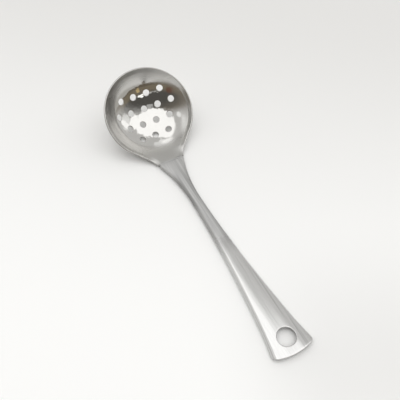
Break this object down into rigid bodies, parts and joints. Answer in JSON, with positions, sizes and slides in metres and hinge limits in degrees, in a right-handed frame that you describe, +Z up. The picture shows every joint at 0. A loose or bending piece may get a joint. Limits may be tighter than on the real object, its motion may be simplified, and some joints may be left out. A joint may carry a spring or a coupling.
{
  "type": "perforated soup ladle",
  "caption": "Perforated soup ladle of pressed steel: a round polished bowl with a lip turned slightly up, welded to a long handle that widens towards its hanging hole.",
  "frame": {"origin": "middle of the space the lying ladle takes up on the table, at table level", "axes": "+X from the bowl towards the end of the handle, +Y across the handle, +Z up"},
  "size_m": [0.2248, 0.0668, 0.0426],
  "materials": {
    "polished_steel": "mirror-polished inside the dish, satin towards the tongue",
    "satin_steel": "satin, brushed along the handle",
    "ground_weld": "weld ground smooth across the neck"
  },
  "bodies": {
    "root": {"perforated_bowl": "polished_steel", "handle": "satin_steel", "neck_weld": "ground_weld"}
  },
  "joints": []
}
